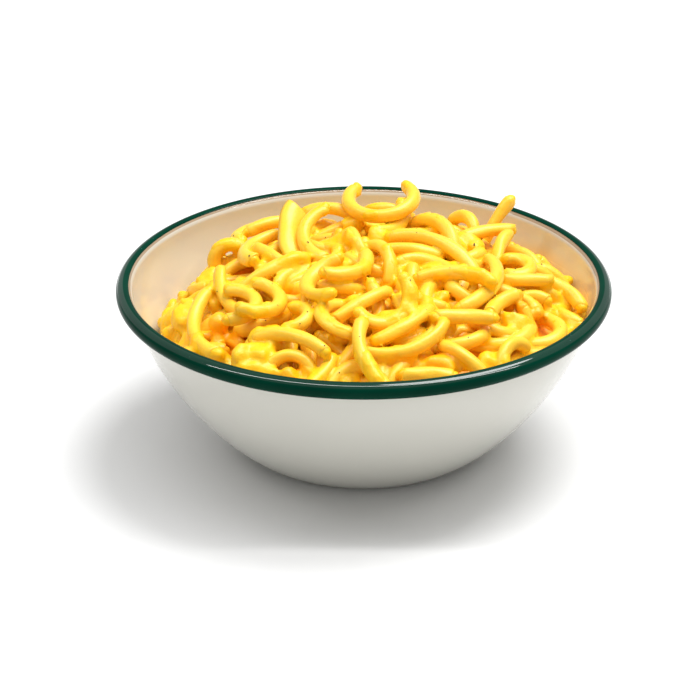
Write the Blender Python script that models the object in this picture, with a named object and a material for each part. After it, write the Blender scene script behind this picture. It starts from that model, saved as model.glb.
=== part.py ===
"""Mac and cheese in a round enamelled steel bowl.

Metres, +Z up. The origin is the middle of the bowl's foot, on the table it stands on.
The bowl is one pressed steel shell whose edge is rolled outwards into a bead. The pasta is one solid
that fills the bowl and is heaped above its edge, out to the uneven outline of the curved tubes.
"""

import math
import random

import bmesh
import bpy
from mathutils import Vector

# Bowl
BOWL_DIAMETER = 0.160
ROLL_RADIUS = 0.00265
ROLL_HEIGHT = 0.0542
ROLL_STEPS = 12
ROLL_TUCK = math.radians(-127)
WALL = 0.0010
FOOT_RADIUS = 0.039
FOOT_RING_WIDTH = 0.006
FOOT_RECESS = 0.0006
FLOOR_HEIGHT = WALL + FOOT_RECESS
WALL_STEPS = 9
BOWL_SIDES = 64

# The wall's outline is a superellipse, shallow above the foot and steep below the edge.
WALL_RISE_POWER = 1.478
WALL_FLARE_POWER = 1.236

ROLL_CENTRE = BOWL_DIAMETER / 2 - ROLL_RADIUS
WALL_TOP_RADIUS = ROLL_CENTRE - ROLL_RADIUS + WALL
INNER_TOP_RADIUS = WALL_TOP_RADIUS - WALL

# Heap of pasta
GAP = 0.0006
TUBE_RADIUS = 0.0025
TUBE_SIDES = 8
TUBE_POINTS = 9
TUBE_COUNT = 130
TUBE_BEND_RADIUS = (0.006, 0.014)
TUBE_LENGTH = (0.022, 0.036)
TUBE_SLANT = math.radians(16)
TUBE_LIFT = (-0.0022, 0.0012)
CROWN_HEIGHT = 0.0655
EDGE_HEIGHT = 0.0425
EDGE_TILT_ACROSS = 0.0035
EDGE_TILT_BACK = -0.0010
SHOULDER_POWER = 3.0
CORE_DROP = 0.0022
CORE_SIDES = 72
CORE_RINGS = 12
BELLY_RINGS = 10
FUSE_VOXEL = 0.0011
FUSED_TRIANGLES_SHARE = 0.046
SEED = 5

# Tubes that stand clear of the heap: the middle of the tube, which way its bend opens, how far that
# way is tipped up, and the tube's bend radius and length.
STANDING_TUBES = (
    {"at": (0.007, 0.026, 0.0668), "opens": 95, "tip": 62, "bend": 0.0105, "length": 0.034},
    {"at": (0.043, 0.028, 0.0640), "opens": 205, "tip": 55, "bend": 0.0300, "length": 0.019},
    {"at": (-0.026, 0.020, 0.0645), "opens": 190, "tip": 70, "bend": 0.0150, "length": 0.024},
)


def clear_scene():
    for item in list(bpy.data.objects):
        bpy.data.objects.remove(item)


def make_material(name, colour, roughness):
    material = bpy.data.materials.new(name)
    material.use_nodes = True
    shader = material.node_tree.nodes["Principled BSDF"]
    shader.inputs["Base Color"].default_value = (*colour, 1.0)
    shader.inputs["Roughness"].default_value = roughness
    shader.inputs["Metallic"].default_value = 0.0
    return material


def wall_radius(height, foot, top, low, high):
    """Radius at a height of a wall that rises from foot at low to top at high."""
    share = min(max((height - low) / (high - low), 0.0), 1.0)
    rise = 1 - (1 - share) ** WALL_RISE_POWER
    return foot + (top - foot) * rise ** (1 / WALL_FLARE_POWER)


def outer_radius(height):
    return wall_radius(height, FOOT_RADIUS, WALL_TOP_RADIUS, 0.0, ROLL_HEIGHT)


def inner_radius(height):
    return wall_radius(height, FOOT_RADIUS - WALL / 2, INNER_TOP_RADIUS, FLOOR_HEIGHT, ROLL_HEIGHT)


def wall_heights(low, high):
    """Heights up a wall, closer together near the foot, where it turns most."""
    return [low + (high - low) * (step / WALL_STEPS) ** 1.6 for step in range(WALL_STEPS + 1)]


def roll_point(angle):
    return (
        ROLL_CENTRE + ROLL_RADIUS * math.cos(angle),
        ROLL_HEIGHT + ROLL_RADIUS * math.sin(angle),
    )


def bowl_outline():
    """(radius, height) points from the axis under the foot, round the edge, to the axis inside."""
    ring_inside = FOOT_RADIUS - FOOT_RING_WIDTH
    points = [
        (0.0, FOOT_RECESS),
        (ring_inside - FOOT_RECESS * 2, FOOT_RECESS),
        (ring_inside, 0.0),
    ]
    tuck_height = roll_point(ROLL_TUCK)[1]
    points += [(outer_radius(height), height) for height in wall_heights(0.0, tuck_height)[:-1]]
    first_green = len(points)
    sweep = math.pi - ROLL_TUCK
    points += [roll_point(ROLL_TUCK + sweep * step / ROLL_STEPS) for step in range(ROLL_STEPS)]
    last_green = len(points)
    inner = wall_heights(FLOOR_HEIGHT, ROLL_HEIGHT)
    points += [(inner_radius(height), height) for height in reversed(inner)]
    points.append((0.0, FLOOR_HEIGHT))
    return points, range(first_green, last_green)


def ring_of(mesh, sides, place):
    """A ring of vertices, where place(angle) gives (x, y, z)."""
    return [mesh.verts.new(place(2 * math.pi * side / sides)) for side in range(sides)]


def bridge(mesh, first, second):
    """Quads between two rings, or triangles where one of them is a single point."""
    sides = max(len(first), len(second))
    faces = []
    for side in range(sides):
        after = (side + 1) % sides
        if len(first) == 1:
            corners = (first[0], second[after], second[side])
        elif len(second) == 1:
            corners = (first[side], first[after], second[0])
        else:
            corners = (first[side], first[after], second[after], second[side])
        faces.append(mesh.faces.new(corners))
    return faces


def finish_object(name, mesh, materials):
    bmesh.ops.recalc_face_normals(mesh, faces=mesh.faces)
    data = bpy.data.meshes.new(name)
    mesh.to_mesh(data)
    mesh.free()
    data.shade_smooth()
    data.set_sharp_from_angle(angle=math.radians(50))
    for material in materials:
        data.materials.append(material)
    made = bpy.data.objects.new(name, data)
    bpy.context.scene.collection.objects.link(made)
    return made


def make_bowl():
    cream = make_material("cream_enamel", (0.86, 0.82, 0.72), 0.15)
    green = make_material("green_enamel", (0.004, 0.075, 0.045), 0.12)
    points, green_span = bowl_outline()
    mesh = bmesh.new()
    rings = []
    for radius, height in points:
        if radius == 0.0:
            rings.append([mesh.verts.new((0.0, 0.0, height))])
        else:
            rings.append(
                ring_of(
                    mesh,
                    BOWL_SIDES,
                    lambda angle, r=radius, z=height: (r * math.cos(angle), r * math.sin(angle), z),
                )
            )
    for index, (first, second) in enumerate(zip(rings, rings[1:])):
        for face in bridge(mesh, first, second):
            face.material_index = 1 if index in green_span else 0
    return finish_object("bowl", mesh, [cream, green])


def edge_height(angle):
    """Height at which the pasta meets the wall: higher at the right than at the left."""
    return EDGE_HEIGHT + EDGE_TILT_ACROSS * math.cos(angle) + EDGE_TILT_BACK * math.sin(angle)


def wall_reach(height):
    """How far out the pasta may go at a height."""
    return inner_radius(height) - GAP


def smooth_heap(x, y):
    """Height of the heap at a place, without the relief of its tubes."""
    angle = math.atan2(y, x)
    edge = edge_height(angle)
    share = min(math.hypot(x, y) / wall_reach(edge), 1.0)
    return edge + (CROWN_HEIGHT - edge) * (1 - share**SHOULDER_POWER)


def add_core(mesh):
    """The closed body under the tubes: the bowl's inside up to a little below the heap's surface."""

    def top_place(share):
        def place(angle):
            across = share * wall_reach(edge_height(angle) - CORE_DROP)
            x, y = across * math.cos(angle), across * math.sin(angle)
            return x, y, smooth_heap(x, y) - CORE_DROP

        return place

    def belly_place(share):
        def place(angle):
            low = FLOOR_HEIGHT + GAP
            height = low + (edge_height(angle) - CORE_DROP - low) * share
            across = wall_reach(height - GAP)
            return across * math.cos(angle), across * math.sin(angle), height

        return place

    rings = [[mesh.verts.new((0.0, 0.0, FLOOR_HEIGHT + GAP))]]
    for ring in range(BELLY_RINGS):
        rings.append(ring_of(mesh, CORE_SIDES, belly_place((ring / BELLY_RINGS) ** 1.6)))
    for ring in range(CORE_RINGS, 0, -1):
        rings.append(ring_of(mesh, CORE_SIDES, top_place(ring / CORE_RINGS)))
    rings.append([mesh.verts.new((0.0, 0.0, CROWN_HEIGHT - CORE_DROP))])
    for first, second in zip(rings, rings[1:]):
        bridge(mesh, first, second)


def arc_path(middle, opens, rise, bend, length):
    """Points along an arc through middle. Its bend opens along opens, and it starts out along rise."""
    turn = length / bend
    path = []
    for step in range(TUBE_POINTS):
        angle = turn * (step / (TUBE_POINTS - 1) - 0.5)
        path.append(middle + rise * bend * math.sin(angle) + opens * bend * (1 - math.cos(angle)))
    return path


def add_tube(mesh, path):
    """A closed tube of the pasta's outer size along a path."""
    rings = []
    for index, point in enumerate(path):
        ahead = path[min(index + 1, len(path) - 1)] - path[max(index - 1, 0)]
        side = ahead.cross(Vector((0.31, 0.17, 1.0))).normalized()
        up = side.cross(ahead).normalized()
        rings.append(
            ring_of(
                mesh,
                TUBE_SIDES,
                lambda angle, p=point, s=side, u=up: p
                + (s * math.cos(angle) + u * math.sin(angle)) * TUBE_RADIUS,
            )
        )
    for first, second in zip(rings, rings[1:]):
        bridge(mesh, first, second)
    mesh.faces.new(reversed(rings[0]))
    mesh.faces.new(rings[-1])


def lying_tube(index, chance):
    """A tube on the heap's surface. The tubes' middles are spread evenly by the golden angle."""
    golden = math.pi * (3 - math.sqrt(5))
    across = (wall_reach(EDGE_HEIGHT) - TUBE_RADIUS) * math.sqrt((index + 0.5) / TUBE_COUNT)
    around = index * golden
    middle = Vector((across * math.cos(around), across * math.sin(around), 0.0))
    heading = chance.uniform(0, 2 * math.pi)
    rise = Vector((-math.sin(heading), math.cos(heading), 0.0))
    opens = Vector((math.cos(heading), math.sin(heading), 0.0))
    bend = chance.uniform(*TUBE_BEND_RADIUS)
    path = arc_path(middle, opens, rise, bend, chance.uniform(*TUBE_LENGTH))
    lift = chance.uniform(*TUBE_LIFT)
    slant = math.tan(chance.uniform(-TUBE_SLANT, TUBE_SLANT))
    for point in path:
        point.z = smooth_heap(point.x, point.y) + lift + slant * (point - middle).dot(rise)
        limit = wall_reach(point.z - TUBE_RADIUS) - TUBE_RADIUS
        distance = math.hypot(point.x, point.y)
        if distance > limit:
            point.x *= limit / distance
            point.y *= limit / distance
    return path


def standing_tube(at, opens, tip, bend, length):
    """A tube whose bend opens upwards, so that its ends stand clear of the heap."""
    heading, tilt = math.radians(opens), math.radians(tip)
    level = Vector((math.cos(heading), math.sin(heading), 0.0))
    upward = level * math.cos(tilt) + Vector((0.0, 0.0, math.sin(tilt)))
    return arc_path(Vector(at), upward, level.cross(Vector((0.0, 0.0, 1.0))), bend, length)


def fuse(pasta):
    """Makes the core and the tubes one closed body, then thins its triangles."""
    remesh = pasta.modifiers.new("fuse", "REMESH")
    remesh.mode = "VOXEL"
    remesh.voxel_size = FUSE_VOXEL
    thin = pasta.modifiers.new("thin", "DECIMATE")
    thin.ratio = FUSED_TRIANGLES_SHARE


def make_pasta():
    yellow = make_material("cheesy_pasta", (1.0, 0.68, 0.07), 0.35)
    chance = random.Random(SEED)
    mesh = bmesh.new()
    add_core(mesh)
    for index in range(TUBE_COUNT):
        add_tube(mesh, lying_tube(index, chance))
    for tube in STANDING_TUBES:
        add_tube(mesh, standing_tube(**tube))
    pasta = finish_object("macaroni", mesh, [yellow])
    fuse(pasta)


def main():
    clear_scene()
    make_bowl()
    make_pasta()


main()
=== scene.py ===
"""Mac and cheese in an enamelled bowl: the bowl, its green edge, the macaroni, the sauce and pepper.

Metres, +Z up, in the frame of the CAD model. Every piece rides on the one body, "root".
"""

import math
import random

import bpy
import numpy as np
from bpy.props import FloatProperty, FloatVectorProperty, IntProperty, PointerProperty
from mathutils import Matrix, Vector


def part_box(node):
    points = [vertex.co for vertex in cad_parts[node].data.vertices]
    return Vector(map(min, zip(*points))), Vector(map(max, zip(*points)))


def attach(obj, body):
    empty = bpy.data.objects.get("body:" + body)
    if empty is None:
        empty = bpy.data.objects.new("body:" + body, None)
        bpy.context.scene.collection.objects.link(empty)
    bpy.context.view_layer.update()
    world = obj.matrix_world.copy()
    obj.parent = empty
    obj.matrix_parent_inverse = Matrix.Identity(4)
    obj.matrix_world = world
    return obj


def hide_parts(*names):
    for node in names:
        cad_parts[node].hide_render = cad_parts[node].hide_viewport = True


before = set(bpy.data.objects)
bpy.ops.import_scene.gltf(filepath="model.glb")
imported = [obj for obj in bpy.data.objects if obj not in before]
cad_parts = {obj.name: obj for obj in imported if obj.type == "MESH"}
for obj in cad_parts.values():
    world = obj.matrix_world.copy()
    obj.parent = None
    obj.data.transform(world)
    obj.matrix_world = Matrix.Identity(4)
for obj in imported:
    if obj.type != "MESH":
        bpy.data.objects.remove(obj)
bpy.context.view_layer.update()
BOWL_LOW, BOWL_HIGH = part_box("bowl")

bl_info = {
    "name": "Mac and cheese bowl",
    "version": (1, 0, 0),
    "blender": (4, 5, 0),
    "location": "3D View > Sidebar > Mac and cheese",
    "description": "Builds an enamelled bowl heaped with macaroni in cheese sauce",
    "category": "Add Mesh",
}


# Shader expressions


class Value:
    """A shader number or colour. Each operator between values adds one Math node."""

    def __init__(self, finish, socket):
        self.finish = finish
        self.socket = socket

    def maths(self, operation, first, second):
        return self.finish.node("ShaderNodeMath", {"operation": operation}, {0: first, 1: second})

    def __add__(self, other):
        return self.maths("ADD", self, other)

    def __radd__(self, other):
        return self.maths("ADD", other, self)

    def __mul__(self, other):
        return self.maths("MULTIPLY", self, other)

    def __rmul__(self, other):
        return self.maths("MULTIPLY", other, self)

    def band(self, low, high):
        """0 below low and 1 above high, with a smooth step between."""
        return self.finish.node(
            "ShaderNodeMapRange",
            {"interpolation_type": "SMOOTHSTEP", "clamp": True},
            {"Value": self, "From Min": low, "From Max": high, "To Min": 0.0, "To Max": 1.0},
        )


class Finish:
    """A material with one Principled shader, built from expressions."""

    def __init__(self, name, **constants):
        self.material = bpy.data.materials.new(name)
        self.material.use_nodes = True
        self.tree = self.material.node_tree
        self.shader = self.tree.nodes["Principled BSDF"]
        for socket, value in constants.items():
            self.shader.inputs[socket.replace("_", " ")].default_value = value

    def node(self, kind, settings=None, inputs=None, output=0):
        """Adds a node, sets its settings, and links or sets its inputs."""
        made = self.tree.nodes.new(kind)
        for name, value in (settings or {}).items():
            setattr(made, name, value)
        for name, value in (inputs or {}).items():
            if isinstance(value, Value):
                self.tree.links.new(value.socket, made.inputs[name])
            else:
                made.inputs[name].default_value = value
        return Value(self, made.outputs[output])

    def mix(self, share, first, second):
        """first where share is 0 and second where it is 1; both are colours."""
        return self.node(
            "ShaderNodeMix",
            {"data_type": "RGBA", "clamp_factor": True},
            {0: share, 6: opaque(first), 7: opaque(second)},
            output=2,
        )

    def noise(self, scale, detail=2.0, roughness=0.5):
        place = self.node("ShaderNodeTexCoord", output=3)
        return self.node(
            "ShaderNodeTexNoise",
            None,
            {"Vector": place, "Scale": scale, "Detail": detail, "Roughness": roughness},
        )

    def attribute(self, name):
        return self.node("ShaderNodeAttribute", {"attribute_name": name}, output=2)

    def bump(self, height, strength, distance):
        return self.node(
            "ShaderNodeBump", None, {"Height": height, "Strength": strength, "Distance": distance}
        )

    def feed(self, name, value):
        self.tree.links.new(value.socket, self.shader.inputs[name])


def opaque(colour):
    return colour if isinstance(colour, Value) else (*tuple(colour)[:3], 1.0)


# Mesh helpers


def scene_object(name, data):
    made = bpy.data.objects.new(name, data)
    bpy.context.scene.collection.objects.link(made)
    return made


def mesh_piece(name, points, faces, finish, node, smooth=True):
    """A mesh object from arrays, riding on the body and standing for a CAD node."""
    mesh = bpy.data.meshes.new(name)
    mesh.from_pydata([tuple(point) for point in points], [], [tuple(face) for face in faces])
    mesh.validate()
    if smooth:
        mesh.shade_smooth()
    piece = scene_object(name, mesh)
    mesh.materials.append(finish)
    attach(piece, "root")
    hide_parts(node)
    return piece


def paint(piece, name, values):
    """Stores one number for each vertex, for the piece's material."""
    layer = piece.data.attributes.new(name, "FLOAT", "POINT")
    layer.data.foreach_set("value", np.asarray(values, dtype=np.float32))


# The bowl's shape

FOOT_RECESS = 0.0006
FOOT_RING_WIDTH = 0.006
FOOT_RING_ROUND = 0.0006
WALL_RISE_POWER = 1.478
WALL_FLARE_POWER = 1.236
ROLL_TUCK = -127.0
GREEN_START = -118.0
GREEN_WAVE = 2.2
GREEN_PROUD = 0.00012
GREEN_THICKNESS = 0.0004
GLOSSY_FROM, GLOSSY_TO = 38.0, 82.0
OUT_OF_ROUND = 0.0006
BOWL_SIDES = 224
OUTER_STEPS = 44
INNER_STEPS = 47


class BowlShape:
    """Radii of the pressed wall and of the rolled edge."""

    def __init__(self, settings):
        self.roll = settings.roll_diameter / 2
        self.wall = settings.wall
        self.foot = settings.foot_diameter / 2
        self.top = BOWL_HIGH[2] - self.roll
        self.roll_centre = (BOWL_HIGH[0] - BOWL_LOW[0]) / 2 - self.roll
        self.outer_top = self.roll_centre - self.roll + self.wall
        self.floor = self.wall + FOOT_RECESS

    def curve(self, height, foot, top, low):
        """Radius of a pressed wall that rises from the foot at low to the edge."""
        share = np.clip((height - low) / (self.top - low), 0.0, 1.0)
        return foot + (top - foot) * (1 - (1 - share) ** WALL_RISE_POWER) ** (1 / WALL_FLARE_POWER)

    def outer(self, height):
        return self.curve(height, self.foot, self.outer_top, 0.0)

    def inner(self, height):
        return self.curve(height, self.foot - self.wall / 2, self.outer_top - self.wall, self.floor)

    def roll_point(self, degrees, grow=0.0):
        """(radius, height) on the rolled edge: 0 faces outwards and 90 up. grow is added to its size."""
        angle = math.radians(degrees)
        return (
            self.roll_centre + (self.roll + grow) * math.cos(angle),
            self.top + (self.roll + grow) * math.sin(angle),
        )


def body_outline(shape):
    """The cream body from the middle of its underside over the edge to the middle of its floor, as
    (kind, value) where a kind that is a number is a radius and its value a height."""
    ring = shape.foot - FOOT_RING_WIDTH
    tuck_height = shape.roll_point(ROLL_TUCK)[1]
    outline = [
        (0.0, FOOT_RECESS),
        (ring - 0.0014, FOOT_RECESS),
        (ring - FOOT_RING_ROUND, 0.0002),
        (ring, 0.0),
    ]
    outline += [
        ("outer", tuck_height * (step / OUTER_STEPS) ** 1.5) for step in range(OUTER_STEPS + 1)
    ]
    outline += [
        ("roll", degrees, -GREEN_PROUD * min(1.0, (degrees - ROLL_TUCK) / 8, (180 - degrees) / 30))
        for degrees in np.linspace(ROLL_TUCK, 180, 72)
    ]
    depth = shape.top - shape.floor
    outline += [
        ("inner", float(shape.floor + depth * (1 - step / INNER_STEPS) ** 1.5))
        for step in range(1, INNER_STEPS + 1)
    ]
    outline.append((0.0, shape.floor))
    return outline


def green_outline(green_end):
    """The green band's skin and, under it, its hidden back, closed to a ring."""
    span = [float(degrees) for degrees in np.linspace(GREEN_START, green_end, 58)]
    outline = [("roll", degrees, 0.0) for degrees in span]
    outline += [("roll", degrees, -GREEN_THICKNESS) for degrees in reversed(span[1:-1:2])]
    outline.append(outline[0])
    return outline


def edge_drift(chance):
    """A slow wander between about -1 and 1 round the bowl, for the green's hand-dipped edge."""
    swings = [(n, chance.uniform(0, 6.3), chance.uniform(0.4, 1.0)) for n in (2, 3, 5, 8, 13, 21)]

    def drift(angle):
        return sum(size * math.sin(n * angle + turn) for n, turn, size in swings) / 4

    return drift


def turned_piece(name, shape, outline, finish, wave=None):
    """A piece of the bowl turned from an outline. wave(degrees, angle) moves points of the roll."""
    points, faces = [], []
    count = len(outline)
    for side in range(BOWL_SIDES):
        angle = 2 * math.pi * side / BOWL_SIDES
        here, there = side * count, (side + 1) % BOWL_SIDES * count
        for index, (kind, value, *sunk) in enumerate(outline):
            if kind == "outer":
                radius, height = float(shape.outer(value)), value
            elif kind == "inner":
                radius, height = float(shape.inner(value)), value
            elif kind == "roll":
                shift = wave(value, angle) if wave else 0.0
                radius, height = shape.roll_point(value + shift, *sunk)
            else:
                radius, height = kind, value
            radius = radius * (1 + OUT_OF_ROUND * math.sin(2 * angle + 0.7))
            points.append((radius * math.cos(angle), radius * math.sin(angle), height))
            if index > 0:
                faces.append((here + index - 1, there + index - 1, there + index, here + index))
    return mesh_piece(name, points, faces, finish, "bowl")


# The heap's shape

EDGE_HEIGHT = 0.0402
EDGE_TILT_ACROSS = 0.0050
EDGE_TILT_BACK = -0.0010
CROWN_HEIGHT = 0.0645
SHOULDER_POWER = 2.6


def heap_surface(x, y, shape):
    """Height of the heap's even surface at places in the bowl."""
    angle = np.arctan2(y, x)
    edge = EDGE_HEIGHT + EDGE_TILT_ACROSS * np.cos(angle) + EDGE_TILT_BACK * np.sin(angle)
    share = np.clip(np.hypot(x, y) / shape.inner(edge), 0.0, 1.0)
    return edge + (CROWN_HEIGHT - edge) * (1 - share**SHOULDER_POWER)


# Tubes laid one by one: the middle in millimetres, then heading, climb and roll in degrees, and the bend's
# radius and the length in millimetres.
PLACED_TUBES = (
    ((5.6, 21, 67.4), 0, 0, 15, 10.8, 49),
    ((7, 36, 65.5), 0, 4, -80, 10, 26),
    ((19, 24, 63.2), -95, -34, -90, 20, 16),
    ((25, 20, 65.5), -60, -6, -150, 15, 26),
    ((12.5, 22, 65), -126, -6, 150, 12, 22),
    ((24, 2.5, 66.5), -38, -8, -135, 30, 35),
    ((14, 1, 65), -5, 0, -60, 25, 20),
    ((-1, 3, 68), -70, -14, -95, 9, 26),
    ((6.5, -6, 67), -60, -20, -110, 11, 26),
    ((11.5, -41, 60), 42, 22, 50, 9.5, 29),
    ((13, -43, 58.5), 42, 6, 20, 22, 24),
    ((29, -18.5, 64), -8, 0, -100, 24, 25),
    ((41, -16, 60), -110, -3, 180, 26, 38),
    ((-2, -33, 62.5), 40, 4, -90, 25, 22),
    ((-17.5, -24, 64), -95, -5, 0, 11.5, 32),
    ((-2, -19, 65), 50, 6, 10, 12, 24),
    ((-16.5, -39, 58.5), -100, -14, 180, 6, 18),
    ((-12, -40, 60.5), -80, -12, 0, 9, 27),
    ((-21, -48, 56.5), -28, -6, -120, 26, 26),
    ((-33.5, -53, 53), -135, -20, -90, 20, 20),
    ((-21.5, -53, 54), -5, 0, -120, 7, 22),
    ((-14, -60, 50.5), 60, 20, 0, 30, 18),
    ((0, -59, 55.5), -72, -20, 10, 22, 28),
    ((19.5, -62.5, 52), 0, 0, -90, 60, 15),
    ((34, -57, 54), -45, -12, -120, 14, 21),
    ((15, -54, 55), 25, 10, 30, 18, 31),
    ((31, -39, 60), 8, 3, -170, 40, 18),
    ((43, -24, 57.5), 50, 8, -90, 20, 16),
    ((43, -48, 54), -95, -22, -90, 9, 22),
    ((61, -27, 48.8), -100, 0, 180, 9.5, 30),
    ((50.5, -6.5, 57), 5, 0, -90, 30, 18),
    ((53.5, 3, 58), -90, 0, 180, 5.5, 22),
    ((63, -1, 52.5), -30, -8, -120, 20, 23),
    ((43.5, 35, 61.5), 35, 42, -90, 35, 18),
    ((34.5, 35, 62), -50, -12, -90, 7, 15),
    ((41, 25, 61.5), 18, 3, -90, 40, 18),
    ((45, 15, 60), -100, -20, -90, 20, 18),
    ((-12, 32, 67), -10, 0, -90, 16, 24),
    ((-31, 34, 61), 15, 4, -90, 20, 18),
    ((-38, 10, 61.5), 80, 0, 180, 16, 30),
    ((-29, -1, 63), -40, -4, -90, 30, 16),
    ((-29, -12, 62), 30, 8, -60, 30, 25),
    ((-19.5, 7, 68), 90, 22, 180, 14, 29),
    ((-40, 34, 58), 60, 0, 180, 8, 22),
    ((-43, 20, 59), 10, 0, -90, 5.5, 22),
    ((-43.5, -17, 56.5), -62, -8, 0, 30, 28),
    ((-33.5, -27, 58), 90, 0, 0, 9, 28),
    ((-52.5, -27, 50.5), -88, -12, 20, 25, 36),
    ((-26, -29, 60), 84, 0, 12, 9, 31, -8),
)

# Split tubes, with their size against a whole tube's radius, how far they are open and their spin.
OPENED_TUBES = (
    ((-24.5, 13, 65.5), 90, 22, 180, 24, 24, 1.45, 0.55, 0),
)

# Rough clumps of cheese sauce, listed one by one: the middle, then the reach across, back and up, in
# millimetres.
CLUMPS = (
    ((-33, -51, 53), (5, 4, 3.6)),
    ((-37, -52.5, 52.5), (3.4, 3.4, 5)),
    ((-33, -57, 50), (6, 3, 3)),
    ((49, -30, 54.5), (2.8, 2.8, 2.8)),
    ((24, -54, 51.3), (6.5, 4.5, 2.6)),
    ((20, -33, 58.5), (3, 4, 3.5)),
    ((9.5, -54, 54), (5, 3, 3)),
    ((-22.5, -58, 48.5), (3, 3, 3)),
    ((-45.5, -28, 52.5), (3, 3, 3)),
    ((-55, -38, 46.5), (4, 3, 2.5)),
    ((-13, 1.5, 60.5), (3.5, 3, 3)),
    ((5.5, 13.5, 63), (4, 3, 3)),
    ((-3, 25, 64), (3.8, 2.6, 2.4)),
    ((34, 21, 59.5), (4.5, 3, 3)),
    ((23.5, -7.5, 62), (5.5, 2.6, 2)),
    ((62, -3, 48.5), (5, 4, 3)),
    ((-57, -9, 46.5), (4, 8, 4)),
    ((54, -37, 47), (8, 4, 3)),
    ((-50, 12, 50), (4, 5, 3)),
    ((38, -50, 50), (4, 3, 3)),
)


# Tubes of macaroni

BEADS = 11
PLACED_LOOSENESS = 0.05
SETTLING_ROUNDS = 260
LAYERS = 3
LOWEST_LAYER = -2.3
LAYER_STEP = 1.05
SINK = 0.00010
ROOF_GAP = 0.0004
WALL_GAP = 0.0002
# Depths under the heap's surface, in tube diameters.
CORE_DEPTH = 2.45
SAUCE_DEPTH = 1.35
# The bake map's cells each way, one for a tube, and how much of a cell is used.
ATLAS_CELLS = 21
ATLAS_USED = 0.94


def arc(at, heading, climb, roll, bend, length, skew=0.0):
    """Points along an arc through at. heading and climb are its aim there, and roll turns its bend
    about that aim: 0 opens level to the left of the aim, 90 opens upwards, -90 opens downwards. skew
    slides the tube round its bend, in degrees."""
    heading, climb, roll = math.radians(heading), math.radians(climb), math.radians(roll)
    level = np.array([math.cos(heading), math.sin(heading), 0.0])
    aim = level * math.cos(climb) + np.array([0.0, 0.0, math.sin(climb)])
    left = np.array([-math.sin(heading), math.cos(heading), 0.0])
    above = np.cross(aim, left)
    opens = left * math.cos(roll) + above * math.sin(roll)
    turn = np.linspace(-0.5, 0.5, BEADS)[:, None] * (length / bend) + math.radians(skew)
    return np.asarray(at) + aim * bend * np.sin(turn) + opens * bend * (1 - np.cos(turn))


def hand_laid(at, heading, climb, roll, bend, length, skew=0.0):
    """The path of a tube whose place and sizes are in millimetres."""
    middle = [part / 1000 for part in at]
    return arc(middle, heading, climb, roll, bend / 1000, length / 1000, skew)


def scattered_tubes(settings, shape, chance):
    """Tubes lying at random in layers over the core, before they settle."""
    paths = []
    golden = math.pi * (3 - math.sqrt(5))
    reach = float(shape.inner(EDGE_HEIGHT)) - settings.tube_diameter
    for index in range(settings.tube_count):
        layer = index % LAYERS
        across = reach * math.sqrt((index + 0.5) / settings.tube_count)
        around = index * golden + layer
        x, y = across * math.cos(around), across * math.sin(around)
        lift = settings.tube_diameter * (layer * LAYER_STEP + LOWEST_LAYER)
        z = float(heap_surface(np.array(x), np.array(y), shape)) + lift
        paths.append(
            arc(
                (x, y, z),
                chance.uniform(0, 360),
                chance.gauss(0, 16),
                chance.choice((0, 180)) + chance.gauss(0, 35),
                chance.uniform(0.0062, 0.0150),
                chance.uniform(0.021, 0.034),
            )
        )
    return paths


def uncovering(scattered, placed, radius, shape):
    """The scattered tubes that don't lie over the listed ones."""
    fixed = np.concatenate(placed)
    kept = []
    for path in scattered:
        low = heap_surface(path[:, 0], path[:, 1], shape) - path[:, 2]
        gap = np.sqrt(((path[:, None, :2] - fixed[None, :, :2]) ** 2).sum(axis=2))
        covers = (gap.min(axis=1) < 0.004).sum()
        if low.mean() > radius * 0.8 or covers < 3:
            kept.append(path)
    return kept


def near_pairs(points, owner, reach):
    """Pairs of beads of different tubes closer than reach."""
    flat = points.astype(np.float32)
    square = (flat**2).sum(axis=1)
    firsts, seconds = [], []
    for start in range(0, len(flat), 512):
        block = flat[start : start + 512]
        gap = square[start : start + 512, None] + square[None] - 2 * block @ flat.T
        first, second = np.nonzero(gap < reach**2)
        first = first + start
        keep = owner[first] < owner[second]
        firsts.append(first[keep])
        seconds.append(second[keep])
    return np.concatenate(firsts), np.concatenate(seconds)


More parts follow.
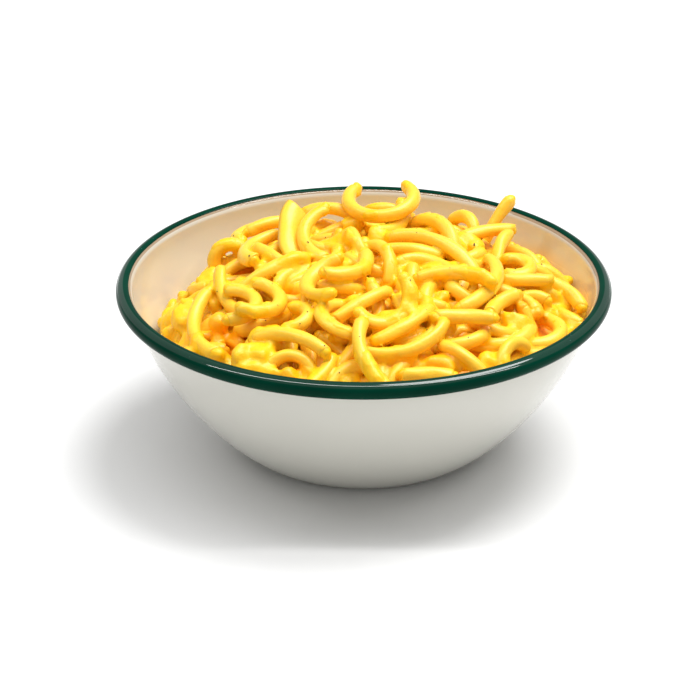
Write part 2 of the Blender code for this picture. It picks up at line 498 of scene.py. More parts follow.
def settle(paths, looseness, radius, core, shape, rounds):
    """Lets rigid tubes sink onto the core until they lie against each other without overlap. A tube
    of low looseness hardly moves."""
    place = np.array(paths)
    loose = np.array(looseness)
    count = len(place)
    middle = place.mean(axis=1, keepdims=True)
    rest = place - middle
    owner = np.repeat(np.arange(count), BEADS)
    weight = loose[owner]
    for step in range(rounds):
        sink = SINK * (1 - step / rounds)
        place[loose > 0.5, :, 2] -= sink
        points = place.reshape(-1, 3)
        if step % 8 == 0:
            first, second = near_pairs(points, owner, 2 * radius + 0.0018)
        apart = points[first] - points[second]
        distance = np.sqrt((apart**2).sum(axis=1)) + 1e-9
        overlap = np.maximum(2 * radius - distance, 0.0)
        total = weight[first] + weight[second] + 1e-9
        push = apart / distance[:, None] * (overlap / total)[:, None]
        shift = np.zeros_like(points)
        for axis in range(3):
            shift[:, axis] += np.bincount(first, push[:, axis] * weight[first], len(points))
            shift[:, axis] -= np.bincount(second, push[:, axis] * weight[second], len(points))
        hit = (overlap > 0).astype(float)
        touches = np.bincount(first, hit, len(points)) + np.bincount(second, hit, len(points))
        points = points + shift / np.maximum(touches, 1.0)[:, None] * 1.3
        floor = core(points[:, 0], points[:, 1]) + radius
        roof = heap_surface(points[:, 0], points[:, 1], shape) + ROOF_GAP
        points[:, 2] = np.where(weight > 0.5, np.minimum(points[:, 2], roof), points[:, 2])
        points[:, 2] = np.maximum(points[:, 2], floor)
        across = np.hypot(points[:, 0], points[:, 1]) + 1e-9
        limit = shape.inner(points[:, 2] - radius * 0.5) - radius - WALL_GAP
        points[:, :2] *= np.minimum(limit / across, 1.0)[:, None]
        moved = points.reshape(count, BEADS, 3)
        centre = moved.mean(axis=1, keepdims=True)
        spread = np.einsum("nbi,nbj->nij", moved - centre, rest)
        u, _, v = np.linalg.svd(spread)
        flip = np.sign(np.linalg.det(u @ v))
        u[:, :, 2] *= flip[:, None]
        place = np.einsum("nij,nbj->nbi", u @ v, rest) + centre
    return list(place)


def smooth_path(path, count):
    """More points on the same curve, by Catmull-Rom between its beads."""
    path = np.asarray(path)
    ends = np.vstack([2 * path[0] - path[1], path, 2 * path[-1] - path[-2]])
    where = np.linspace(0, len(path) - 1, count)
    index = np.minimum(where.astype(int), len(path) - 2)
    t = (where - index)[:, None]
    a, b, c, d = (ends[index + k] for k in range(4))
    return 0.5 * (
        2 * b + (c - a) * t + (2 * a - 5 * b + 4 * c - d) * t**2 + (3 * b - a - 3 * c + d) * t**3
    )


def path_frames(path):
    """Directions along and across a path, without twist."""
    ahead = np.gradient(path, axis=0)
    ahead /= np.linalg.norm(ahead, axis=1, keepdims=True)
    side = np.cross(ahead[0], (0.3, 0.2, 1.0))
    sides = []
    for direction in ahead:
        side = side - direction * side.dot(direction)
        side = side / np.linalg.norm(side)
        sides.append(side)
    sides = np.array(sides)
    return ahead, sides, np.cross(ahead, sides)


# Melted cheese shows orange round these places: across, back and reach in millimetres.
MELTED_CHEESE = (
    (-43, -31, 7),
    (-14, 2, 6),
    (19, -25, 6),
    (24, -55, 8),
    (13, -60, 6),
    (53, -24, 7),
    (-22, -58, 5),
    (-57, -34, 6),
    (36, -36, 5),
    (-36, 12, 5),
    (45, 22, 5),
    (-5, 44, 7),
    (-30, 50, 7),
    (30, 52, 7),
)


def melted(points):
    """1 in the middle of a place where cheese has melted, falling to 0 round it."""
    share = np.zeros(len(points))
    for across, back, reach in MELTED_CHEESE:
        apart = (points[:, 0] - across / 1000) ** 2 + (points[:, 1] - back / 1000) ** 2
        share = np.maximum(share, np.exp(-apart / (reach / 1000) ** 2))
    return share


class TubeMesh:
    """Gathers many tubes into one mesh, with the values its finish needs."""

    def __init__(self, rings, sides):
        self.rings, self.sides = rings, sides
        self.points, self.faces, self.uvs = [], [], []
        self.tint, self.inside = [], []
        self.count = self.total = 0

    def section(self, opened):
        """The cut across a tube: unit circle, or a thin open gutter."""
        if opened <= 0:
            turn = np.linspace(0, 2 * math.pi, self.sides, endpoint=False)
            return np.cos(turn), np.sin(turn)
        half = self.sides // 2
        reach = math.pi * (1 - opened)
        turn = np.linspace(-reach, reach, half)
        wide = 1 + 0.9 * opened
        outer = np.stack([np.sin(turn) * wide, -np.cos(turn)], axis=1)
        inner = np.stack([np.sin(turn) * (wide - 0.42), -np.cos(turn) * 0.58], axis=1)
        ring = np.vstack([outer, inner[::-1]])
        return ring[:, 0], ring[:, 1]

    def rows(self, radius, bore, opened):
        """(how far along, size, how much inside) from one end's bore over the skin to the other's."""
        steps = [(k / (self.rings - 1), radius, 0.0) for k in range(1, self.rings - 1)]
        lip = radius - bore
        end = [
            (0.15, bore * 0.8, 1.0),
            (0.05, bore * 0.95, 1.0),
            (0.012, bore + lip * 0.08, 0.7),
            (0.0, bore + lip * 0.42, 0.1),
            (0.004, bore + lip * 0.76, 0.0),
            (0.018, radius * 0.97, 0.0),
        ]
        if opened > 0:
            end = [(0.0, radius * 0.9, 0.0), (0.012, radius, 0.0)]
        else:
            steps = steps[1:-1]
        return end + steps + [(1 - at, size, share) for at, size, share in reversed(end)]

    def add(self, path, radius, bore, chance, opened=0.0, spin=None):
        """One tube along a path. opened splits it lengthwise by that share of its round."""
        path = smooth_path(path, self.rings)
        ahead, across, above = path_frames(path)
        along = np.linspace(0, 1, self.rings)
        wave = chance.uniform(3, 8), chance.uniform(0, 6), chance.uniform(5, 13), chance.uniform(0, 6)
        flat = chance.uniform(-0.02, 0.13)
        squash = 1 + flat + 0.04 * np.sin(along * wave[0] + wave[1])
        swell = 1 + 0.035 * np.sin(along * wave[2] + wave[3]) + chance.gauss(0, 0.06) * (along - 0.5)
        lean = chance.uniform(0, math.pi) if spin is None else spin
        slants = [(chance.gauss(0, 0.28), chance.gauss(0, 0.28)) for _ in range(2)]
        c, s = self.section(opened)
        where, size, inside = np.array(self.rows(radius, bore, opened)).T
        centre, a, b, f = (
            np.stack([np.interp(where, along, part[:, axis]) for axis in range(3)], axis=1)
            for part in (path, across, above, ahead)
        )
        wide = np.interp(where, along, squash)[:, None]
        full = (np.interp(where, along, swell) * size)[:, None]
        around = np.arctan2(s, c)[None]
        twist = [chance.uniform(0, 6.3) for _ in range(2)]
        full = full * (
            1
            + 0.040 * np.sin(2 * around + 5 * where[:, None] + twist[0])
            + 0.028 * np.sin(3 * around - 11 * where[:, None] + twist[1])
        )
        u = (c * math.cos(lean) * wide - s * math.sin(lean) / wide) * full
        v = (c * math.sin(lean) * wide + s * math.cos(lean) / wide) * full
        near_end = np.maximum(0.0, 1 - np.minimum(where, 1 - where) / 0.07)[:, None]
        first = (where < 0.5)[:, None]
        slant = np.where(first, slants[0][0], slants[1][0]) * u
        slant = slant + np.where(first, slants[0][1], slants[1][1]) * v
        grid = (
            centre[:, None]
            + u[..., None] * a[:, None]
            + v[..., None] * b[:, None]
            + (near_end * slant)[..., None] * f[:, None]
        )
        sides, rows = len(c), len(where)
        self.points.append(grid.reshape(-1, 3))
        self.inside.extend(np.repeat(inside, sides))
        self.tint.extend([chance.random()] * (rows * sides))
        start = self.total
        self.total += rows * sides
        left, low = self.count % ATLAS_CELLS / ATLAS_CELLS, self.count // ATLAS_CELLS / ATLAS_CELLS
        self.count += 1
        wide, high = ATLAS_USED / ATLAS_CELLS / sides, ATLAS_USED / ATLAS_CELLS / (rows - 1)
        for row, side in np.ndindex(rows - 1, sides):
            p, q, n = start + row * sides, start + (row + 1) * sides, (side + 1) % sides
            self.faces.append((p + side, p + n, q + n, q + side))
            for u, v in ((side, row), (side + 1, row), (side + 1, row + 1), (side, row + 1)):
                self.uvs.append((left + u * wide, low + v * high))
        last = start + (rows - 1) * sides
        self.faces.append(tuple(start + side for side in reversed(range(sides))))
        self.faces.append(tuple(last + side for side in range(sides)))
        self.uvs += [(left, low)] * (2 * sides)

    def make(self, name, finish, field, shape):
        points = np.concatenate(self.points)
        depth = depth_below(points, shape)
        piece = mesh_piece(name, points, self.faces, finish, "macaroni")
        paint(piece, "tint", self.tint)
        paint(piece, "inside", self.inside)
        # Closeness to other tubes: sauce collecting there, and painted shade where tubes touch.
        paint(piece, "sauce", field.closeness(points))
        # Depth drives painted shade: deeper places turn orange.
        paint(piece, "depth", depth)
        # Melted cheese, made stronger deeper in the heap as painted shade.
        paint(piece, "melt_and_depth_shade", melted(points) * (0.35 + 0.65 * depth))
        layer = piece.data.uv_layers.new(name="OFBake")
        layer.data.foreach_set("uv", np.array(self.uvs, dtype=np.float32).ravel())
        return piece


# Drives the painted shade of the macaroni and the sauce.
def depth_below(points, shape):
    """0 on the heap's surface and 1 about two tubes below it."""
    below = heap_surface(points[:, 0], points[:, 1], shape) + 0.001 - points[:, 2]
    return np.clip(below / 0.009, 0.0, 1.0)


# Sauce

SAUCE_LOW = (-0.0745, -0.0745, 0.0350)
SAUCE_SIZE = (0.149, 0.149, 0.048)
SAUCE_PITCH = 0.00105
SAUCE_BLEND = 0.00055
# How far the sauce lies under a free tube's skin, and stands over it in the clotted places.
THIN_SAUCE = 0.00026
THICK_SAUCE = 0.00050


class SauceField:
    """Distances to the tubes and the core on a grid, blended so that close tubes are bridged."""

    def __init__(self, paths, radius, core, shape):
        pitch, blend = SAUCE_PITCH, SAUCE_BLEND
        self.pitch, self.shape = pitch, shape
        self.origin = np.array(SAUCE_LOW)
        self.count = np.ceil(np.array(SAUCE_SIZE) / pitch).astype(int) + 1
        axes = [self.origin[k] + pitch * np.arange(self.count[k]) for k in range(3)]
        self.x, self.y, self.z = axes
        ground = core(axes[0][:, None] + 0 * axes[1][None], 0 * axes[0][:, None] + axes[1][None])
        height = axes[2][None, None] - ground[..., None]
        self.total = np.exp(np.clip(-height / blend, -30, 12)).astype(np.float32)
        reach = radius + 5 * blend
        for path in paths:
            fine = smooth_path(path, 29)
            low = np.floor((fine.min(axis=0) - reach - self.origin) / pitch).astype(int)
            high = np.ceil((fine.max(axis=0) + reach - self.origin) / pitch).astype(int) + 1
            low, high = np.maximum(low, 0), np.minimum(high, self.count)
            if (high <= low).any():
                continue
            gx = axes[0][low[0] : high[0], None, None]
            gy = axes[1][None, low[1] : high[1], None]
            gz = axes[2][None, None, low[2] : high[2]]
            nearest = np.full((high - low), 1.0, dtype=np.float32)
            for px, py, pz in fine:
                np.minimum(nearest, (gx - px) ** 2 + (gy - py) ** 2 + (gz - pz) ** 2, out=nearest)
            apart = np.sqrt(nearest) - radius
            block = tuple(slice(low[k], high[k]) for k in range(3))
            self.total[block] += np.exp(np.clip(-apart / blend, -30, 12))
        rough = (self.lumps(0.0040, 8) - 0.5) * 0.0022 + (self.lumps(0.0022, 9) - 0.5) * 0.0014
        self.clump = np.full(self.total.shape, 1.0, dtype=np.float32)
        for middle, reach in CLUMPS:
            away = [
                ((axis - at / 1000) / (size / 1000)) ** 2 for axis, at, size in zip(axes, middle, reach)
            ]
            away = away[0][:, None, None] + away[1][None, :, None] + away[2][None, None, :]
            np.minimum(self.clump, (np.sqrt(away) - 1) * min(reach) / 1000, out=self.clump)
        self.clump += rough
        self.total += np.exp(np.clip(-self.clump / blend, -30, 12))
        self.apart = -blend * np.log(self.total + 1e-13)

    def closeness(self, points):
        """0 on a tube's free skin and 1 where it meets its neighbours."""
        where = np.clip((points - self.origin) / self.pitch, 0, self.count - 1.001)
        index = where.astype(int)
        share = where - index
        inward = np.zeros(len(points))
        for corner in np.ndindex(2, 2, 2):
            weight = np.prod(np.where(corner, share, 1 - share), axis=1)
            x, y, z = (index + corner).T
            inward -= weight * np.clip(self.apart[x, y, z], -0.004, 0.002)
        return np.clip((inward - 0.0001) / 0.0016, 0.0, 1.0)

    def lumps(self, cell, seed):
        """Smooth noise between 0 and 1 over the grid."""
        chance = np.random.default_rng(seed)
        coarse = np.ceil(self.count * self.pitch / cell).astype(int) + 3
        values = chance.random(tuple(coarse)).astype(np.float32)
        for axis in range(3):
            where = np.arange(self.count[axis]) * self.pitch / cell
            index = where.astype(int)
            t = where - index
            t = t * t * (3 - 2 * t)
            shape = [1, 1, 1]
            shape[axis] = len(t)
            t = t.reshape(shape).astype(np.float32)
            values = np.take(values, index, axis) * (1 - t) + np.take(values, index + 1, axis) * t
        return values

    def skin(self):
        """The sauce's surface, with clots where smooth noise is high and on the clumps."""
        clots = np.clip((self.lumps(0.011, 3) * 0.6 + self.lumps(0.0052, 4) * 0.4 - 0.60) / 0.16, 0, 1)
        clots = np.maximum(clots, 0.85 * np.clip(0.8 - self.clump / 0.0015, 0, 1))
        grain = (self.lumps(0.0017, 5) - 0.5) * 0.0011 + (self.lumps(0.0030, 6) - 0.5) * 0.0010
        field = self.apart + THIN_SAUCE - clots * (THIN_SAUCE + THICK_SAUCE) + grain * (0.18 + 0.82 * clots)
        across = np.hypot(self.x[:, None], self.y[None])[..., None]
        wall = across - (self.shape.inner(self.z) - 0.0001)[None, None]
        field = np.maximum(field, wall)
        for axis in range(3):
            ends = [slice(None)] * 3
            for end in (0, -1):
                ends[axis] = end
                field[tuple(ends)] = 0.001
        return surface_of(field, self.origin, self.pitch)


def surface_of(field, origin, pitch):
    """Points and quads of the surface where a field on a grid passes zero, by surface nets."""
    inner = field < 0
    cells = tuple(size - 1 for size in field.shape)
    total = np.zeros((*cells, 3), dtype=np.float32)
    hits = np.zeros(cells, dtype=np.float32)
    for axis in range(3):
        for base in np.ndindex(2, 2, 2):
            if base[axis] == 1:
                continue
            far = [base[k] + (k == axis) for k in range(3)]
            a = field[tuple(slice(base[k], base[k] + cells[k]) for k in range(3))]
            b = field[tuple(slice(far[k], far[k] + cells[k]) for k in range(3))]
            crossed = (a < 0) != (b < 0)
            t = np.where(crossed, a / np.where(crossed, a - b, 1), 0)
            hits += crossed
            for k in range(3):
                total[..., k] += np.where(crossed, base[k] + (t if k == axis else 0), 0)
    active = hits > 0
    ids = np.full(cells, -1, dtype=np.int64)
    ids[active] = np.arange(active.sum())
    corner = np.argwhere(active)
    points = origin + (corner + total[active] / hits[active][:, None]) * pitch
    faces = []
    for axis in range(3):
        u, v = (axis + 1) % 3, (axis + 2) % 3
        low = [slice(None)] * 3
        high = [slice(None)] * 3
        low[axis], high[axis] = slice(0, -1), slice(1, None)
        change = inner[tuple(low)] != inner[tuple(high)]
        trim = [slice(None)] * 3
        trim[u], trim[v] = slice(1, -1), slice(1, -1)
        where = np.argwhere(change[tuple(trim)])
        where[:, u] += 1
        where[:, v] += 1
        outwards = inner[where[:, 0], where[:, 1], where[:, 2]]
        step_u, step_v = np.zeros(3, dtype=int), np.zeros(3, dtype=int)
        step_u[u], step_v[v] = 1, 1
        ring = [where - step_u - step_v, where - step_v, where, where - step_u]
        quad = np.stack([ids[tuple(place.T)] for place in ring], axis=1)
        quad[~outwards] = quad[~outwards][:, ::-1]
        faces.append(quad)
    return points, np.concatenate(faces)


# Finishes


def cream_enamel(settings):
    finish = Finish("cream enamel", Roughness=0.16, Coat_Weight=0.35, Coat_Roughness=0.05)
    stain_and_reflected_yellow = finish.attribute("stain_and_reflected_yellow")
    edge = finish.attribute("edge")
    patches = finish.noise(60.0, 4.0, 0.6).band(0.35, 0.75)
    # Sauce stain along the food's edge, with painted reflected yellow light from the food, strongest on the
    # right wall.
    colour = finish.mix(stain_and_reflected_yellow * (0.45 + patches * 0.55), settings.cream, settings.sauce_stain)
    specks = finish.noise(900.0, 1.0).band(0.80, 0.84) * finish.noise(90.0, 1.0).band(0.60, 0.66)
    colour = finish.mix(specks * 0.35, colour, (0.30, 0.24, 0.16))
    # Brown line just under the roll: partly wear, partly painted shade in the crease where the roll curls
    # onto the wall.
    colour = finish.mix(edge, colour, (0.30, 0.19, 0.09))
    finish.feed("Base Color", colour)
    finish.feed("Roughness", 0.13 + finish.noise(35.0, 3.0) * 0.08 + stain_and_reflected_yellow * 0.18)
    finish.feed("Normal", finish.bump(finish.noise(110.0, 2.0, 0.4), 0.10, 0.0004))
    return finish.material


def green_enamel(settings):
    finish = Finish("green enamel", Specular_IOR_Level=0.03, Coat_IOR=1.5, Coat_Roughness=0.045)
    tone = finish.noise(45.0, 3.0).band(0.3, 0.7)
    colour = finish.mix(tone, settings.green, tuple(c * 1.35 for c in settings.green))
    chips = finish.noise(700.0, 1.0).band(0.79, 0.82)
    colour = finish.mix(chips * 0.5, colour, (0.10, 0.22, 0.20))
    finish.feed("Base Color", colour)
    finish.feed("Roughness", 0.05 + finish.noise(60.0, 3.0) * 0.06)
    finish.feed("Coat Weight", finish.attribute("glaze"))
    finish.feed("Normal", finish.bump(finish.noise(130.0, 2.0, 0.4), 0.12, 0.0004))
    return finish.material


def cheesy_colour(finish, settings, cloud, tint, sauce, depth):
    """Pale macaroni, yellower where sauce coats it and as painted shade where tubes touch, and orange where
    cheese has melted and as painted shade deeper in the heap.
    """
    # Yellow where sauce collects between tubes and as painted shade where they touch; pale on the free
    # skin.
    coat_and_shade = (cloud * 0.55 + tint * 0.30 + sauce * 0.80).band(0.40, 1.0)
    colour = finish.mix(coat_and_shade, settings.pasta_pale, settings.pasta_yellow)
    # Melted cheese; on the tubes it also carries painted shade, stronger deeper down.
    melted = finish.attribute("melt_and_depth_shade")
    # Orange for melted cheese, and painted shade that grows deeper in the heap, in the bores and where
    # tubes touch.
    deep = (sauce * 0.30 + depth * 0.78 + cloud * 0.35 + melted * 1.25).band(0.50, 1.45)
    return finish.mix(deep, colour, settings.cheese_and_shade_orange)


def food_finish(name, coat, roughness, spread):
    """A soft finish that light enters a little way, under a thin wet coat."""
    return Finish(
        name,
        Specular_IOR_Level=0.30,
        Coat_Weight=coat,
        Coat_Roughness=roughness,
        Subsurface_Weight=0.20,
        Subsurface_Radius=spread,
        Subsurface_Scale=0.0025,
    )


def macaroni_finish(settings):
    finish = food_finish("macaroni in cheese sauce", 0.35, 0.30, (1.0, 0.55, 0.10))
    cloud = finish.noise(170.0, 3.0, 0.55)
    sauce, inside = finish.attribute("sauce"), finish.attribute("inside")
    # Painted shade in the bore: it counts as deeper, so it turns orange.
    depth = finish.attribute("depth") + inside * 0.5
    colour = cheesy_colour(finish, settings, cloud, finish.attribute("tint"), sauce, depth)
    streak = finish.noise(520.0, 3.0, 0.6)
    colour = finish.mix(streak.band(0.60, 0.80) * 0.25, colour, settings.pasta_pale)
    finish.feed("Base Color", colour)
    finish.feed("Roughness", 0.30 + finish.noise(240.0, 3.0) * 0.24)
    relief = finish.noise(380.0, 3.0, 0.5) + finish.noise(1500.0, 2.0, 0.6) * 0.25
    finish.feed("Normal", finish.bump(relief, 0.42, 0.0006))
    return finish.material


def sauce_finish(settings):
    finish = food_finish("cheese sauce", 0.25, 0.28, (1.0, 0.5, 0.10))
    cloud = finish.noise(170.0, 3.0, 0.55)
    grains = finish.noise(430.0, 2.0)
    # Painted shade: deeper sauce turns orange.
    colour = cheesy_colour(finish, settings, cloud, 0.5, 0.62, finish.attribute("depth"))
    colour = finish.mix(grains.band(0.55, 0.75) * 0.40, colour, settings.pasta_pale)
    finish.feed("Base Color", colour)
    finish.feed("Roughness", 0.30 + finish.noise(300.0, 3.0) * 0.25)
    relief = finish.noise(600.0, 3.0, 0.6) + finish.noise(2200.0, 2.0, 0.6) * 0.4
    finish.feed("Normal", finish.bump(relief, 0.45, 0.0005))
    return finish.material


def pepper_finish():
    finish = Finish("ground pepper", Roughness=0.7)
    finish.feed(
        "Base Color", finish.mix(finish.noise(1500.0, 2.0), (0.012, 0.008, 0.005), (0.10, 0.05, 0.02))
    )
    return finish.material


def floor_finish(settings):
    finish = Finish("pale floor", Roughness=0.55)
    colour = tuple(settings.floor)
    tone = finish.noise(6.0, 2.0) * 0.01
    finish.feed("Base Color", finish.mix(tone, colour, tuple(c * 0.98 for c in colour)))
    return finish.material


# Settings


class MACBOWL_BowlSettings(bpy.types.PropertyGroup):
    wall: FloatProperty(
        name="Wall", description="Thickness of the enamelled wall", default=0.0010, unit="LENGTH"
    )
    roll_diameter: FloatProperty(
        name="Edge roll", description="Thickness of the rolled edge", default=0.0053, unit="LENGTH"
    )
    foot_diameter: FloatProperty(
        name="Foot", description="Width of the foot across the table", default=0.078, unit="LENGTH"
    )
    paint_end: FloatProperty(
        name="Green edge",
        description="How far round the roll the green reaches inside",
        default=math.radians(124),
        subtype="ANGLE",
    )
    cream: FloatVectorProperty(
        name="Cream", description="Enamel of the bowl", subtype="COLOR", default=(0.62, 0.61, 0.545)
    )
    green: FloatVectorProperty(
        name="Green", description="Enamel of the edge", subtype="COLOR", default=(0.0002, 0.028, 0.0155)
    )
    sauce_stain: FloatVectorProperty(
        name="Stain", description="Sauce left on the wall", subtype="COLOR", default=(0.90, 0.60, 0.10)
    )


class MACBOWL_PastaSettings(bpy.types.PropertyGroup):
    tube_diameter: FloatProperty(
        name="Tube", description="Width of a cooked tube", default=0.0045, unit="LENGTH"
    )
    bore_diameter: FloatProperty(
        name="Bore", description="Width of the hole through a tube", default=0.0015, unit="LENGTH"
    )
    tube_count: IntProperty(name="Tubes", description="Tubes scattered in three layers", default=300, min=1)
    pepper_count: IntProperty(name="Pepper", description="Specks of ground pepper", default=170, min=0)
    seed: IntProperty(name="Seed", description="Which random heap is made", default=7)
    pasta_pale: FloatVectorProperty(
        name="Pale", description="Macaroni with little sauce", subtype="COLOR", default=(1.0, 0.60, 0.035)
    )
    # Yellow of macaroni in sauce, also used as painted shade where tubes touch.
    pasta_yellow: FloatVectorProperty(
        name="Yellow", description="Macaroni in sauce", subtype="COLOR", default=(1.0, 0.58, 0.004)
    )
    # Orange of melted cheese, also used as painted shade deep in the heap.
    cheese_and_shade_orange: FloatVectorProperty(
        name="Orange",
        description="Melted cheese in the hollows",
        subtype="COLOR",
        default=(1.0, 0.46, 0.002),
    )


class MACBOWL_StageSettings(bpy.types.PropertyGroup):
    distance: FloatProperty(
        name="Distance", description="Camera to the bowl's edge", default=0.80, unit="LENGTH"
    )
    elevation: FloatProperty(
        name="Elevation", description="How far the camera looks down", default=math.radians(24.2),
        subtype="ANGLE",
    )
    lens: FloatProperty(
        name="Lens", description="Focal length in millimetres on a 36 mm frame", default=127.0
    )
    key: FloatProperty(name="Key", description="Strength of the key lamp", default=2.3)
    softness: FloatProperty(
        name="Softness", description="How wide the key lamp looks", default=math.radians(30),
        subtype="ANGLE",
    )
    sky: FloatProperty(name="Sky", description="Strength of the white room", default=0.42)
    softbox: FloatProperty(name="Softbox", description="Power of the lamp overhead", default=14.5)
    floor: FloatVectorProperty(
        name="Floor", description="Colour of the floor", subtype="COLOR", default=(0.82, 0.82, 0.82)
    )


# Operators


class MACBOWL_OT_bowl(bpy.types.Operator):
    """Turns the cream bowl and its green rolled edge"""

    bl_idname = "macbowl.bowl"
    bl_label = "Enamelled bowl"

    def execute(self, context):
        settings = context.scene.macbowl_bowl
        shape = BowlShape(settings)
        body = turned_piece(
            "bowl_body", shape, body_outline(shape), cream_enamel(settings)
        )
        green_end = math.degrees(settings.paint_end)
        drift = edge_drift(random.Random(11))

        def wave(degrees, angle):
            return GREEN_WAVE * drift(angle) * max(0.0, (degrees - 90) / (green_end - 90))

        outline = green_outline(green_end)
        rim = turned_piece(
            "green_edge", shape, outline, green_enamel(settings), wave
        )
        gloss = [float(GLOSSY_FROM < degrees < GLOSSY_TO) for _, degrees, _ in outline]
        paint(rim, "glaze", gloss * BOWL_SIDES)
        self.mark_wall(body, shape)
        return {"FINISHED"}

    def mark_wall(self, body, shape):
        """Paints where sauce stains the inside, with painted reflected yellow light from the food that is
        strongest on the right wall, and a brown line under the roll that is partly wear and partly painted
        shade of the crease.
        """
        place = np.empty(len(body.data.vertices) * 3)
        body.data.vertices.foreach_get("co", place)
        place = place.reshape(-1, 3)
        angle = np.arctan2(place[:, 1], place[:, 0])
        across = np.hypot(place[:, 0], place[:, 1])
        food = EDGE_HEIGHT + EDGE_TILT_ACROSS * np.cos(angle)
        within = across < shape.inner(place[:, 2]) + 0.0006
        wet = np.clip(1 - (place[:, 2] - food) / 0.006, 0, 1)
        # Stronger towards the right: painted reflected yellow light from the food on the right wall.
        wet = wet * (0.12 + 0.88 * np.clip(np.cos(angle - 0.3), 0, 1) ** 2)
        paint(body, "stain_and_reflected_yellow", wet * within)
        # Brown line under the roll: partly wear, partly painted shade in the crease where the roll meets
        # the wall.
        low = np.clip((place[:, 2] - (shape.top - shape.roll - 0.0006)) / 0.0006, 0, 1)
        paint(body, "edge", low * (across > shape.outer_top - 0.0004) * 0.8)


class MACBOWL_OT_macaroni(bpy.types.Operator):
    """Lays the macaroni, bridges it with cheese sauce and sprinkles pepper"""

    bl_idname = "macbowl.macaroni"
    bl_label = "Macaroni and sauce"

    def execute(self, context):
        settings = context.scene.macbowl_pasta
        shape = BowlShape(context.scene.macbowl_bowl)
        chance = random.Random(settings.seed)
        radius = settings.tube_diameter / 2

        def below_surface(depth):
            return lambda x, y: heap_surface(x, y, shape) - depth * settings.tube_diameter

        placed = [hand_laid(*tube) for tube in PLACED_TUBES]
        scattered = uncovering(scattered_tubes(settings, shape, chance), placed, radius, shape)
        looseness = [PLACED_LOOSENESS] * len(placed) + [1.0] * len(scattered)
        rounds = SETTLING_ROUNDS
        core = below_surface(CORE_DEPTH)
        paths = settle(placed + scattered, looseness, radius, core, shape, rounds)
        field = SauceField(paths, radius, below_surface(SAUCE_DEPTH), shape)
        finish = macaroni_finish(settings)
        shown = TubeMesh(30, 16)
        lower = TubeMesh(18, 10)
        for index, path in enumerate(paths):
            group = shown if index < len(placed) else lower
            thick = radius * chance.uniform(0.93, 1.05)
            bore = settings.bore_diameter / 2 * chance.uniform(0.85, 1.15)
            group.add(path, thick, bore, chance)
        for *tube, size, opened, spin in OPENED_TUBES:
            shown.add(hand_laid(*tube), radius * size, 0.0, chance, opened, math.radians(spin))
        shown.make("macaroni_top", finish, field, shape)
        lower.make("macaroni_under", finish, field, shape)
        points, faces = field.skin()
        sauce = mesh_piece(
            "cheese_sauce", points, faces, sauce_finish(settings), "macaroni"
        )
        # Depth for the sauce's painted shade.
        paint(sauce, "depth", depth_below(points, shape))
        paint(sauce, "melt_and_depth_shade", melted(points))
        self.sprinkle(settings, paths, radius, shape, chance)
        return {"FINISHED"}

    def sprinkle(self, settings, paths, radius, shape, chance):
        """Specks of pepper, each a small rough lump half sunk in the skin of a tube near the top."""
        beads = np.concatenate([smooth_path(path, 25) for path in paths])
        level = heap_surface(beads[:, 0], beads[:, 1], shape) - beads[:, 2]
        beads = beads[level < radius * 1.2]
        points, faces = [], []
        for _ in range(settings.pepper_count):
            spot = beads[chance.randrange(len(beads))]
            lean = np.array([chance.gauss(0, 0.6), chance.gauss(-0.3, 0.6), 1.0])
            lean /= np.linalg.norm(lean)
            middle = spot + lean * radius * 1.01
            size = 0.00020 * math.exp(chance.gauss(0, 0.35))
            side = np.cross(lean, (1.0, 0.2, 0.1))
            side /= np.linalg.norm(side)
            front = np.cross(lean, side)
            start = len(points)
            long = chance.uniform(1.0, 1.9)
            for turn in range(6):
                angle = turn * math.pi / 3 + chance.uniform(-0.3, 0.3)
                out = size * chance.uniform(0.75, 1.25)
                points.append(middle + side * out * long * math.cos(angle) + front * out * math.sin(angle))
            points.append(middle + lean * size * 0.6)
            points.append(middle - lean * size * 0.8)
            for turn in range(6):
                after = (turn + 1) % 6
                faces.append((start + turn, start + after, start + 6))
                faces.append((start + after, start + turn, start + 7))
        mesh_piece("pepper", points, faces, pepper_finish(), "macaroni", smooth=False)


FLOOR_SIZE = 6.0
FROM_KEY = (0.33, 0.31, 1.0)
SOFTBOX_PLACE = (0.0, -0.12, 1.2)
SOFTBOX_SIZE = (2.6, 0.09)
# How far past the bowl's edge the camera looks down, and to its left, in degrees.
CAMERA_DOWN = 1.54
CAMERA_ASIDE = 0.348


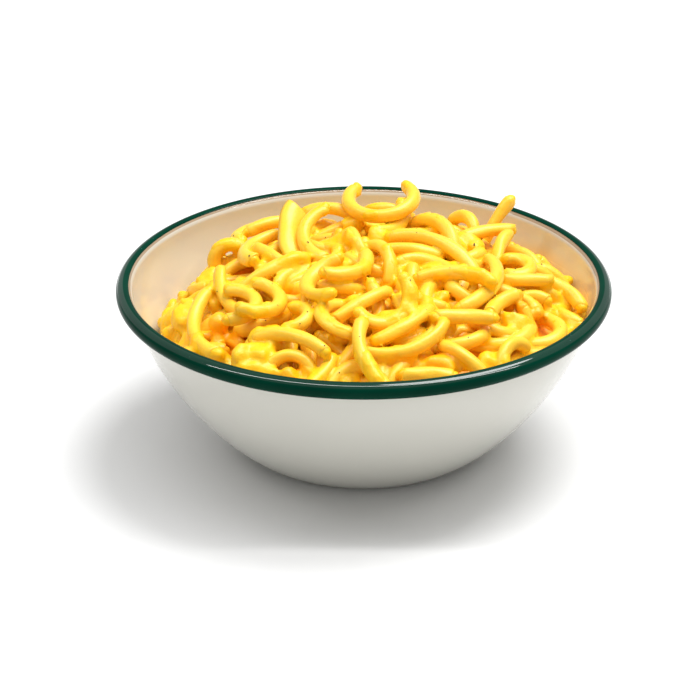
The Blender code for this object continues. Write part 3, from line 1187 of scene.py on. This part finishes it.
class MACBOWL_OT_stage(bpy.types.Operator):
    """Sets the pale floor, the lamps and the camera"""

    bl_idname = "macbowl.stage"
    bl_label = "Floor, lamps and camera"

    def execute(self, context):
        settings = context.scene.macbowl_stage
        scene = context.scene
        mesh = bpy.data.meshes.new("floor")
        half = FLOOR_SIZE / 2
        mesh.from_pydata(
            [(-half, -half, 0), (half, -half, 0), (half, half, 0), (-half, half, 0)], [], [(0, 1, 2, 3)]
        )
        mesh.materials.append(floor_finish(settings))
        scene_object("floor", mesh)

        world = bpy.data.worlds.new("white room")
        world.use_nodes = True
        background = world.node_tree.nodes["Background"]
        background.inputs["Color"].default_value = (1.0, 1.0, 1.0, 1.0)
        background.inputs["Strength"].default_value = settings.sky
        scene.world = world
        scene.view_settings.view_transform = "Standard"

        data = bpy.data.lights.new("key lamp", "SUN")
        data.energy = settings.key
        data.angle = settings.softness
        key = scene_object("key lamp", data)
        key.rotation_euler = (-Vector(FROM_KEY)).to_track_quat("-Z", "Y").to_euler()

        data = bpy.data.lights.new("softbox", "AREA")
        data.shape = "RECTANGLE"
        data.size, data.size_y = SOFTBOX_SIZE
        data.energy = settings.softbox
        scene_object("softbox", data).location = SOFTBOX_PLACE

        target = Vector((0.0, 0.0, BOWL_HIGH[2] - context.scene.macbowl_bowl.roll_diameter / 2))
        back = Vector((0.0, -math.cos(settings.elevation), math.sin(settings.elevation)))
        data = bpy.data.cameras.new("camera")
        data.lens = settings.lens
        data.sensor_width = 36.0
        data.clip_start = 0.01
        camera = scene_object("camera", data)
        camera.location = target + back * settings.distance
        tilt = math.pi / 2 - settings.elevation - math.radians(CAMERA_DOWN)
        camera.rotation_euler = (tilt, 0.0, math.radians(CAMERA_ASIDE))
        scene.camera = camera
        return {"FINISHED"}


class MACBOWL_PT_panel(bpy.types.Panel):
    bl_label = "Mac and cheese"
    bl_idname = "MACBOWL_PT_panel"
    bl_space_type = "VIEW_3D"
    bl_region_type = "UI"
    bl_category = "Mac and cheese"

    def draw(self, context):
        scene = context.scene
        for settings, operator in (
            (scene.macbowl_bowl, "macbowl.bowl"),
            (scene.macbowl_pasta, "macbowl.macaroni"),
            (scene.macbowl_stage, "macbowl.stage"),
        ):
            box = self.layout.box()
            for name in settings.__annotations__:
                box.prop(settings, name)
            box.operator(operator)


CLASSES = (
    MACBOWL_BowlSettings,
    MACBOWL_PastaSettings,
    MACBOWL_StageSettings,
    MACBOWL_OT_bowl,
    MACBOWL_OT_macaroni,
    MACBOWL_OT_stage,
    MACBOWL_PT_panel,
)


def register():
    for item in CLASSES:
        bpy.utils.register_class(item)
    bpy.types.Scene.macbowl_bowl = PointerProperty(type=MACBOWL_BowlSettings)
    bpy.types.Scene.macbowl_pasta = PointerProperty(type=MACBOWL_PastaSettings)
    bpy.types.Scene.macbowl_stage = PointerProperty(type=MACBOWL_StageSettings)


def unregister():
    del bpy.types.Scene.macbowl_stage
    del bpy.types.Scene.macbowl_pasta
    del bpy.types.Scene.macbowl_bowl
    for item in reversed(CLASSES):
        bpy.utils.unregister_class(item)


def main():
    register()
    bpy.ops.macbowl.bowl()
    bpy.ops.macbowl.macaroni()
    bpy.ops.macbowl.stage()


if __name__ == "__main__":
    main()
